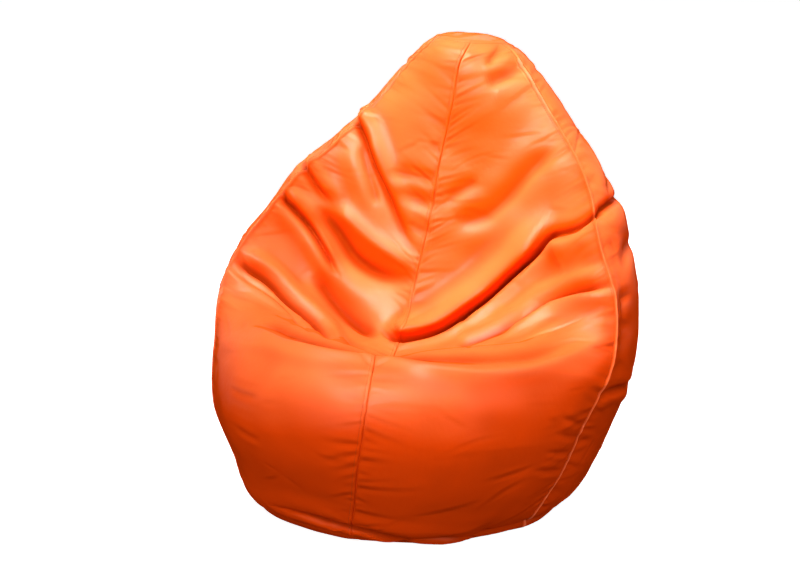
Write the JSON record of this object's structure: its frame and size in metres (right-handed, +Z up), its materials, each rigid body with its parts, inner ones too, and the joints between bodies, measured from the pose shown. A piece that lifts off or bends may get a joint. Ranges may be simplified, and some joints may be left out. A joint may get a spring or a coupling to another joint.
{
  "type": "bean bag chair",
  "caption": "Tall sack-shaped bean bag chair in smooth leatherette gores with a slumped seat and backrest, a zipped cover and a zipped liner full of beads.",
  "frame": {"origin": "middle of the base panel's underside, on the floor", "axes": "+Z up, -Y the way the seat faces, +X to the right of someone looking at the seat"},
  "size_m": [0.8628, 0.8408, 0.9084],
  "materials": {
    "leatherette": "satin",
    "liner_cloth": "matte",
    "zip_tape": "matte",
    "zip_teeth": "satin",
    "liner_tape": "matte",
    "liner_teeth": "satin",
    "zip_metal": "satin",
    "beads": "matte"
  },
  "bodies": {
    "sack": {"cover_panel_front_right": "leatherette", "liner_panel_front_right": "liner_cloth", "cover_panel_side_right": "leatherette", "liner_panel_side_right": "liner_cloth", "cover_panel_back_right": "leatherette", "liner_panel_back_right": "liner_cloth", "cover_panel_back_left": "leatherette", "liner_panel_back_left": "liner_cloth", "cover_panel_side_left": "leatherette", "liner_panel_side_left": "liner_cloth", "cover_panel_front_left": "leatherette", "liner_panel_front_left": "liner_cloth", "top_cap": "leatherette", "base_panel": "leatherette", "liner_top": "liner_cloth", "liner_base": "liner_cloth", "zip_tape_right": "zip_tape", "zip_teeth_right": "zip_teeth", "zip_tape_left": "zip_tape", "zip_teeth_left": "zip_teeth", "liner_zip_tape_front": "liner_tape", "liner_zip_teeth_front": "liner_teeth", "liner_zip_tape_back": "liner_tape", "liner_zip_teeth_back": "liner_teeth", "zip_top_stop": "zip_metal", "zip_bottom_stop": "zip_metal", "liner_zip_stops": "zip_metal", "bead_fill": "beads"},
    "zip_slider": {"zip_slider": "zip_metal"},
    "zip_pull": {"zip_pull": "zip_metal"},
    "liner_zip_slider": {"liner_zip_slider": "zip_metal"},
    "liner_zip_pull": {"liner_zip_pull": "zip_metal"}
  },
  "joints": [
    {"name": "zip_travel", "type": "hinge", "parent": "sack", "child": "zip_slider", "pos_m": [0.03, -0.17, 0.33], "axis": [1, 0, 0], "range_deg": [-36.8, 0]},
    {"name": "zip_pull_swing", "type": "hinge", "parent": "zip_slider", "child": "zip_pull", "pos_m": [0.03, 0.41329, 0.48174], "axis": [1, 0, 0], "range_deg": [0, 160]},
    {"name": "liner_zip_travel", "type": "slide", "parent": "sack", "child": "liner_zip_slider", "axis": [1, 0, 0], "range_m": [-0.0854, 0]},
    {"name": "liner_pull_swing", "type": "hinge", "parent": "liner_zip_slider", "child": "liner_zip_pull", "pos_m": [0.1127, 0.216, 0.8666], "axis": [0, 1, 0], "range_deg": [0, 160]}
  ]
}
